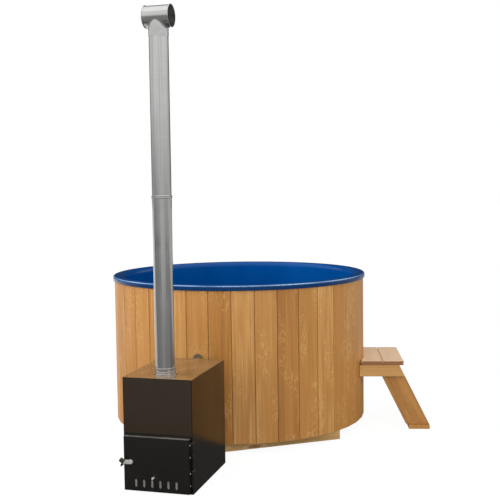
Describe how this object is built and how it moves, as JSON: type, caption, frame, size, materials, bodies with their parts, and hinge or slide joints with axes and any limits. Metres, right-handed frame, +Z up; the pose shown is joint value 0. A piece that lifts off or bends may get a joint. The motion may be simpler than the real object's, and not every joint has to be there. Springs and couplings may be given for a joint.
{
  "type": "fibreglass hot tub",
  "caption": "Round hot tub with a blue fibreglass liner, timber cladding, an outside wood stove with a door and air slider, a stainless chimney with a T cap, and wooden steps.",
  "frame": {"origin": "on the floor, on the round tub's vertical axis, under the middle bearer", "axes": "+Z up, -Y towards the stove and its door, +X towards the steps' side"},
  "size_m": [2.2906, 2.6554, 2.7365],
  "materials": {
    "cladding_wood": "satin",
    "deck_wood": "satin",
    "bearer_wood": "satin",
    "tread_wood": "satin",
    "step_wood": "satin",
    "liner_gelcoat": "gloss",
    "stove_paint": "satin",
    "stainless": "satin",
    "bare_steel": "satin",
    "cast_grate": "rough",
    "fire_steel": "matt",
    "black_grip": "matt",
    "white_plastic": "satin",
    "grey_plastic": "satin",
    "brass": "satin",
    "hose_rubber": "matt",
    "seal_rope": "matt",
    "red_grip": "satin"
  },
  "bodies": {
    "tub": {"cladding_1": "cladding_wood", "cladding_2": "cladding_wood", "cladding_3": "cladding_wood", "cladding_4": "cladding_wood", "cladding_5": "cladding_wood", "cladding_6": "cladding_wood", "former_ring_bottom": "deck_wood", "former_ring_middle": "deck_wood", "former_ring_top": "deck_wood", "bearers": "bearer_wood", "base_deck": "deck_wood", "bench_posts": "deck_wood", "liner": "liner_gelcoat", "water_fittings": "white_plastic", "hose_upper": "hose_rubber", "hose_lower": "hose_rubber", "guard_grilles": "white_plastic", "backing_nuts": "grey_plastic", "hose_clamps": "stainless", "drain_flange": "white_plastic", "drain_elbow": "grey_plastic", "drain_pipe": "grey_plastic", "valve_body": "brass", "valve_tailpiece": "brass", "stove_casing": "stove_paint", "front_panel": "stove_paint", "firebox": "fire_steel", "grate": "cast_grate", "ash_pan": "fire_steel", "smoke_baffle": "fire_steel", "water_stubs": "stainless", "flue_collar": "stainless", "hinge_leaves_casing": "stove_paint", "hinge_pins": "bare_steel", "latch_keeper": "stove_paint", "flue_lower": "stainless", "flue_upper": "stainless", "tee_cap": "stainless", "tread_outer": "tread_wood", "tread_inner": "tread_wood", "step_rails": "step_wood", "step_legs": "step_wood", "step_sole": "tread_wood", "step_ledger": "step_wood"},
    "drain_plug": {"drain_plug": "hose_rubber"},
    "drain_lever": {"valve_ball": "stainless", "valve_lever": "stainless", "valve_grip": "red_grip"},
    "door": {"door_shell": "stove_paint", "door_back": "fire_steel", "door_seal": "seal_rope", "slider_guides": "bare_steel", "hinge_leaves_door": "stove_paint", "hinge_screws": "bare_steel", "latch_bush": "bare_steel"},
    "latch": {"latch_lever": "bare_steel", "latch_grip": "black_grip"},
    "air_slider": {"air_slider": "bare_steel", "slider_knob": "bare_steel"}
  },
  "joints": [
    {"name": "door_hinge", "type": "hinge", "parent": "tub", "child": "door", "pos_m": [0.2035, -1.677, 0.17], "axis": [0, 0, 1], "range_deg": [0, 110]},
    {"name": "latch_turn", "type": "hinge", "parent": "door", "child": "latch", "pos_m": [-0.1545, -1.699, 0.174], "axis": [0, 1, 0], "range_deg": [-8, 75]},
    {"name": "air_slide", "type": "slide", "parent": "door", "child": "air_slider", "axis": [1, 0, 0], "range_m": [0, 0.0242]},
    {"name": "drain_plug_lift", "type": "slide", "parent": "tub", "child": "drain_plug", "axis": [0, 0, 1], "range_m": [0, 0.04]},
    {"name": "drain_valve_turn", "type": "hinge", "parent": "tub", "child": "drain_lever", "pos_m": [0.65546, 0.68253, 0.036], "axis": [0, 0, 1], "range_deg": [-90, 0]}
  ]
}
